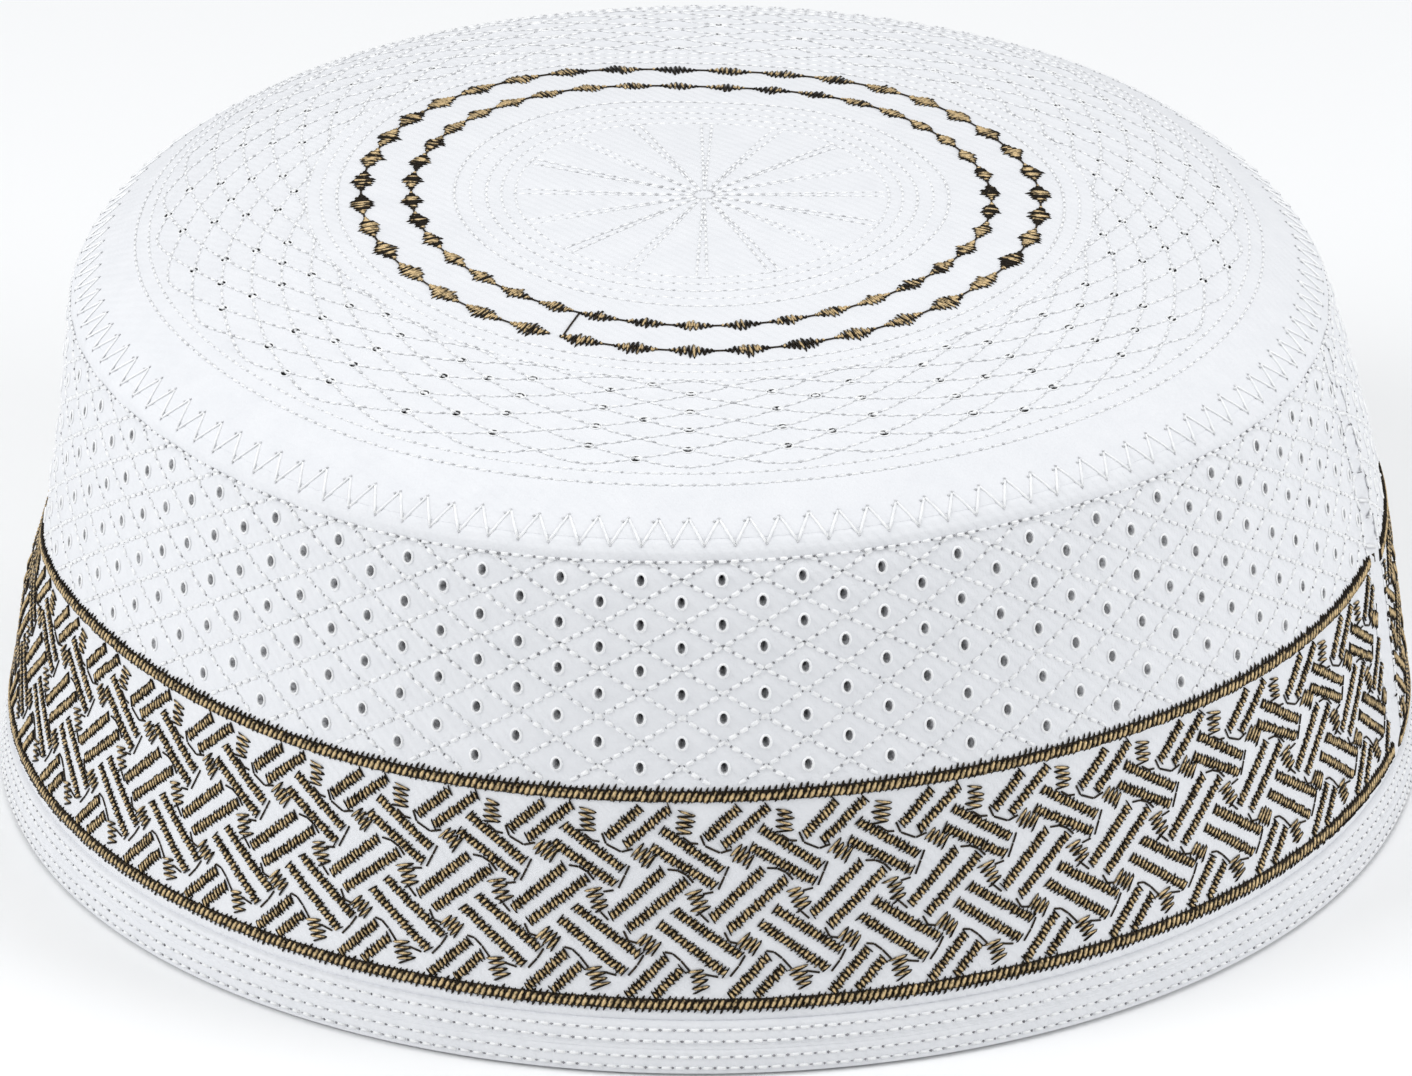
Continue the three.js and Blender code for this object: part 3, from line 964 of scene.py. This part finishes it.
def satin(parts, width, height, dark_share):
    """Raised strokes, gold and dark by turns, the dark ones painted shadow between the gold, with
    the painted highlight and shade at each of their points.
    """
    start, end, dark = (np.concatenate([part[k] for part in parts]) for k in range(3))
    keep = clear_of_join(start, end)
    start, end, dark = start[keep], end[keep], dark[keep]
    thick = width * np.where(dark, dark_share, 1.0) * chance.uniform(0.85, 1.15, len(start))
    bright = ~dark
    gold_strokes = threads(
        start[bright], end[bright], thick[bright], height, gold_stroke_shape, 0.1, lift=0.02
    )
    shadow_strokes = threads(
        start[dark], end[dark], thick[dark], 0.8 * height, shadow_stroke_shape, 0.1, lift=0.02
    )
    painted_light = np.r_[np.tile(gold_stroke_painted_light, bright.sum()), np.tile(shadow_stroke_painted_light, dark.sum())]
    return joined([gold_strokes, shadow_strokes]), painted_light


def gold_over_painted_shade(name, strokes, base, painted_light):
    """One piece of gold strokes with a dark base under them, painted shade in the gaps between the
    strokes.
    """
    mesh = joined([strokes, base])
    which = np.arange(len(mesh[1])) >= len(strokes[1])
    painted_light = np.r_[painted_light, np.zeros(len(base[0]))]
    return make_piece(name, *mesh, [gold, dark_thread_and_shade], "gold_thread", which=which, painted_light=painted_light)


for row in "abcde":
    pairs, lows, highs = [], [], []
    for bar in bars:
        if bar["row"] != row:
            continue
        for repeat in range(band_repeats):
            low = band_place(bar["x0"], bar["y0"], repeat)
            high = band_place(bar["x1"], bar["y1"], repeat)
            pairs.append(strokes_across(low, high, bar_width, stroke_gap, 0.1))
            if from_join((low[1] + high[1]) / 2) > 4:
                lows.append(low)
                highs.append(high)
    strokes, painted_light = satin(pairs, 0.44, 0.42, 0.5)
    # A near-black base under each bar, painted shade in the gaps between its strokes.
    base = threads(lows, highs, bar_width / 2, 0.2, long_line_shape, flat_sink)
    gold_over_painted_shade(f"band_bars_{row}", strokes, base, painted_light)

turns_in_tick = 9
tick_strokes = []
for tick in ticks:
    lean = math.radians(tick["lean"])
    along_tick = np.array([math.sin(lean), math.cos(lean) * degrees_per_mm])
    over_tick = np.array([math.cos(lean), -math.sin(lean) * degrees_per_mm])
    for repeat in range(band_repeats):
        centre = np.array(band_place(tick["x"], tick["y"], repeat))
        turn = np.arange(turns_in_tick)
        over = (turn / turn[-1] - 0.5) * tick["tall"]
        over += chance.uniform(-0.08, 0.08, turns_in_tick)
        half = tick["long"] / 2 * chance.uniform(0.75, 1.15, turns_in_tick)
        half *= np.where(turn % 2, 1, -1)
        turns = centre + over_tick * over[:, None] + along_tick * half[:, None]
        # Every other turn of a tick is dark: painted shadow between the gold turns.
        tick_strokes.append((turns[:-1], turns[1:], turn[:-1] % 2 == 0))
tick_mesh, painted_light = satin(tick_strokes, 0.38, 0.4, 0.75)
make_piece("band_ticks", *tick_mesh, gold, "gold_thread", painted_light=painted_light)

starts, ends = [], []
for line in links:
    for (x0, y0), (x1, y1) in zip(line, line[1:]):
        for repeat in range(band_repeats):
            starts.append(band_place(x0, y0, repeat))
            ends.append(band_place(x1, y1, repeat))
link_mesh = threads(starts, ends, 0.28, 0.24, line_shape, flat_sink)
make_piece("band_linking_threads", *link_mesh, dark_thread_and_shade, "gold_thread")


border_girth = 2 * math.pi * 88
border_stroke_gap = 0.78


def border(name, node, height, reach_down, reach_up):
    """Close slanted satin strokes over a flat dark base that paints the shade beneath them. Every
    other stroke is dark, painted shadow between the gold ones, and the dark strokes reach further.
    """
    count = 2 * int(border_girth / border_stroke_gap)
    turn = np.arange(count) * 360 / count + chance.uniform(-0.03, 0.03, count)
    dark = np.arange(count) % 2 == 0
    down = np.where(dark, reach_down, 0.8) * chance.uniform(0.86, 1.12, count)
    up = np.where(dark, reach_up, 0.8) * chance.uniform(0.8, 1.15, count)
    lean = 0.5 * degrees_per_mm
    start = np.stack([height - down, turn - lean * down], 1)
    end = np.stack([height + up, turn + lean * up], 1)
    strokes, painted_light = satin([(start, end, dark)], 0.7, 0.5, 0.48)
    j = np.arange(around_wall)
    following = (j + 1) % around_wall
    angle = j * 360 / around_wall
    level = np.full(around_wall, height)
    under = 0.6 * (from_join(angle) < 1.5)
    edges = [(-0.7, 0.0), (0.7, 0.0), (0.6, 0.2), (-0.6, 0.2)]
    points = np.stack([skin(level + across, angle, up - under) for across, up in edges], 1)
    faces = []
    for k in range(4):
        beside = (k + 1) % 4
        a, b = j * 4 + k, j * 4 + beside
        c, d = following * 4 + beside, following * 4 + k
        faces += [np.stack([a, c, b], 1), np.stack([a, d, c], 1)]
    base = points.reshape(-1, 3), np.concatenate(faces)
    piece = gold_over_painted_shade(name, strokes, base, painted_light)
    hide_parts(node)
    return piece


upper_piece = border("upper_border_satin", "upper_border", upper_border_along, 0.95, 1.4)
lower_piece = border("lower_border_satin", "lower_border", lower_border_along, 1.2, 1.1)

# Gold diamonds on the crown

diamonds_round = 39
diamond_first_angle = -92.3
diamond_rings = [
    {"radius": 43.8, "wide": 5.7, "tall": 3.5},
    {"radius": 37.4, "wide": 5.0, "tall": 2.9},
]
diamond_stroke_gap = 0.3
missing_thread_from, missing_thread_to = -121, -119
thread_overlap = 0.4


def diamond_angle(k):
    """Evenly spaced, and shifted by a little at the back."""
    even = diamond_first_angle + k * 360 / diamonds_round
    return even + 2.5 * smooth((math.sin(math.radians(even)) + 0.05) / 0.9)


pairs = []
starts, ends = [], []
for ring in diamond_rings:
    per_mm = math.degrees(1 / ring["radius"])
    for k in range(diamonds_round):
        centre = diamond_angle(k)
        count = int(ring["wide"] / diamond_stroke_gap)
        at = (np.arange(count) + 0.5) / count - 0.5
        half = ring["tall"] / 2 * (1 - np.abs(at) * 2) ** 0.9 + 0.12
        lean = 0.14 * np.where(np.arange(count) % 2, 1, -1)
        turn = centre + at * ring["wide"] * per_mm
        inner = ring["radius"] - half * chance.uniform(0.7, 1.25, count)
        outward = ring["radius"] + half * chance.uniform(0.7, 1.25, count)
        a = np.stack([along_at(outward), turn - lean * per_mm], 1)
        b = np.stack([along_at(inner), turn + lean * per_mm], 1)
        # The share of dark strokes rises and falls four times round the crown: painted sheen, the
        # satin lighter where its strokes run slantwise to the view and darker where they run along
        # or across it.
        dark_share = 0.42 + 0.25 * math.cos(4 * math.radians(centre))
        pairs.append((a, b, chance.random(count) < dark_share))
        reach = ring["wide"] / 2 * per_mm - thread_overlap
        in_gap = missing_thread_from < np.mod(centre, 360) - 360 < missing_thread_to
        if ring is diamond_rings[0] and in_gap:
            continue
        place = float(along_at(ring["radius"]))
        starts.append((place, centre + reach))
        ends.append((place, diamond_angle(k + 1) - reach))
diamond_mesh, painted_light = satin(pairs, 0.4, 0.36, 0.85)
diamond_piece = make_piece("crown_diamonds", *diamond_mesh, gold, "gold_thread", painted_light=painted_light)
starts.append((float(along_at(37.2)), -114.8))
ends.append((float(along_at(43.6)), -114.0))
thread_mesh = threads(starts, ends, 0.28, 0.26, line_shape, flat_sink)
joining_piece = make_piece("crown_joining_threads", *thread_mesh, dark_thread_and_shade, "gold_thread")

# Floor, light and camera

bpy.ops.mesh.primitive_plane_add(size=6, location=(0, 0, -0.0001))
floor = bpy.context.object
floor.name = "floor"
floor.data.materials.append(new_material("pale_floor", (0.93, 0.935, 0.94), 0.9)[0])

world = bpy.data.worlds.new("studio")
bpy.context.scene.world = world
world.use_nodes = True
background = world.node_tree.nodes["Background"]
background.inputs["Color"].default_value = (0.97, 0.985, 1.0, 1)
background.inputs["Strength"].default_value = 0.5
bpy.context.scene.view_settings.view_transform = "Standard"


def softbox(name, place, aim, size, power):
    """A square lamp of size metres that faces aim."""
    light = bpy.data.lights.new(name, "AREA")
    light.shape = "SQUARE"
    light.size = size
    light.energy = power
    lamp = bpy.data.objects.new(name, light)
    lamp.location = place
    lamp.rotation_euler = (Vector(aim) - Vector(place)).to_track_quat("-Z", "Y").to_euler()
    bpy.context.scene.collection.objects.link(lamp)


softbox("key", (-0.75, -0.35, 0.7), (0, 0, 0.04), 0.45, 3.2)
softbox("top", (0.1, 0.05, 1.0), (0, 0, 0.05), 0.5, 3.1)
softbox("left", (-0.85, -0.25, 0.3), (0, 0, 0.04), 0.4, 1.3)
softbox("right", (0.85, -0.3, 0.45), (0, 0, 0.04), 0.4, 3.0)

camera_distance = 1.5
camera_height_angle = math.radians(25.997)
camera_aim = Vector((-0.00018, 0, 0.028953))
roll = math.radians(-0.5287)
ahead = Vector((0, math.cos(camera_height_angle), -math.sin(camera_height_angle)))
upright = Vector((0, math.sin(camera_height_angle), math.cos(camera_height_angle)))
right = Vector((1, 0, 0)) * math.cos(roll) + upright * math.sin(roll)
above = upright * math.cos(roll) - Vector((1, 0, 0)) * math.sin(roll)
lens = bpy.data.cameras.new("camera")
lens.sensor_width = 36
lens.lens = 295.74
lens.clip_start = 0.05
lens.clip_end = 20
camera = bpy.data.objects.new("camera", lens)
place = camera_aim - ahead * camera_distance
turned = Matrix((right, above, -ahead)).transposed().to_4x4()
camera.matrix_world = Matrix.Translation(place) @ turned
bpy.context.scene.collection.objects.link(camera)
bpy.context.scene.camera = camera
